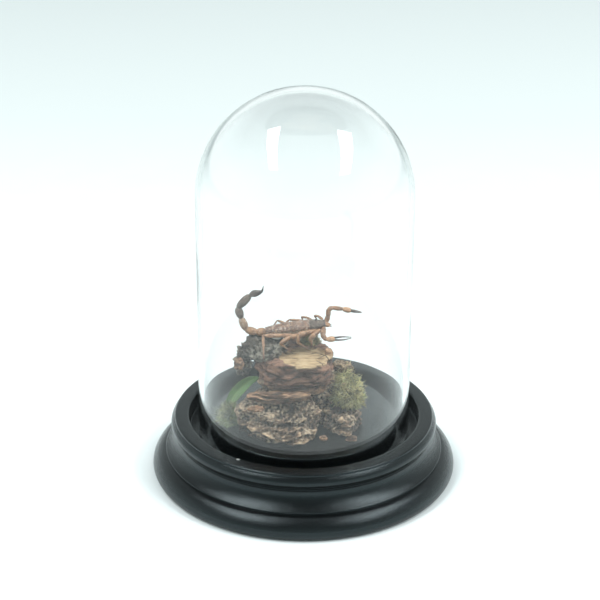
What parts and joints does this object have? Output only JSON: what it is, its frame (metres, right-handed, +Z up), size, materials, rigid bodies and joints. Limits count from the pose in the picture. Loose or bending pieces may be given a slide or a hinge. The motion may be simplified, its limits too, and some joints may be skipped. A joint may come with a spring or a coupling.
{
  "type": "bell jar dome",
  "caption": "Round-topped clear glass display dome standing loose in the groove of a turned black wooden base, over a dried scorpion mounted on bark, wood, moss and a leaf.",
  "frame": {"origin": "centre of the felt's underside, on the surface that the base stands on", "axes": "+Z up along the base's axis, -Y towards the viewer of the display, +X to the viewer's right, where the scorpion's head points"},
  "size_m": [0.116, 0.116, 0.152],
  "materials": {
    "black_lacquered_wood": "satin black lacquer over fine grain",
    "black_felt": "short wool felt",
    "clear_glass": "clear, faint green tint at the lip",
    "rough_bark": "rough flaking bark",
    "lichened_bark": "rough bark with grey lichen",
    "red_bark": "fresh inner bark",
    "dark_wood": "weathered, fibrous",
    "pale_cut_wood": "broken, fibrous",
    "dry_moss": "dry strands",
    "green_leaf": "matt leaf",
    "hot_glue": "cloudy clear hot-melt glue",
    "tan_cuticle": "satin dried cuticle",
    "mottled_cuticle": "dull mottled cuticle",
    "dark_cuticle": "satin dark cuticle"
  },
  "bodies": {
    "root": {"turned_base": "black_lacquered_wood", "underside_felt": "black_felt", "lower_bark_front": "rough_bark", "lower_bark_right": "rough_bark", "rear_bark": "rough_bark", "core_bark": "dark_wood", "twisted_root": "dark_wood", "upper_wood_block": "pale_cut_wood", "lichen_bark": "lichened_bark", "bark_chips": "red_bark", "pale_chip_right": "pale_cut_wood", "bark_splinter": "red_bark", "moss_right": "dry_moss", "moss_top": "dry_moss", "moss_left": "dry_moss", "leaf_blade": "green_leaf", "platform_glue": "hot_glue", "specimen_glue": "hot_glue", "scorpion_carapace": "mottled_cuticle", "scorpion_belly": "tan_cuticle", "scorpion_chelicerae": "tan_cuticle", "scorpion_telson": "dark_cuticle", "scorpion_tergite_1": "mottled_cuticle", "scorpion_tergite_2": "mottled_cuticle", "scorpion_tergite_3": "mottled_cuticle", "scorpion_tergite_4": "mottled_cuticle", "scorpion_tergite_5": "mottled_cuticle", "scorpion_tergite_6": "mottled_cuticle", "scorpion_tergite_7": "mottled_cuticle", "scorpion_tail_segment_1": "tan_cuticle", "scorpion_tail_segment_2": "tan_cuticle", "scorpion_tail_segment_3": "tan_cuticle", "scorpion_tail_segment_4": "dark_cuticle", "scorpion_tail_segment_5": "dark_cuticle", "scorpion_leg_right_1": "tan_cuticle", "scorpion_leg_right_2": "tan_cuticle", "scorpion_leg_right_3": "tan_cuticle", "scorpion_leg_right_4": "tan_cuticle", "scorpion_arm_right": "tan_cuticle", "scorpion_hand_right": "tan_cuticle", "scorpion_finger_right": "dark_cuticle", "scorpion_leg_left_1": "tan_cuticle", "scorpion_leg_left_2": "tan_cuticle", "scorpion_leg_left_3": "tan_cuticle", "scorpion_leg_left_4": "tan_cuticle", "scorpion_arm_left": "tan_cuticle", "scorpion_hand_left": "tan_cuticle", "scorpion_finger_left": "dark_cuticle"},
    "dome": {"glass_dome": "clear_glass"}
  },
  "joints": [
    {"name": "dome_lift", "type": "slide", "parent": "root", "child": "dome", "axis": [0, 0, 1], "range_m": [0, 0.15]}
  ]
}
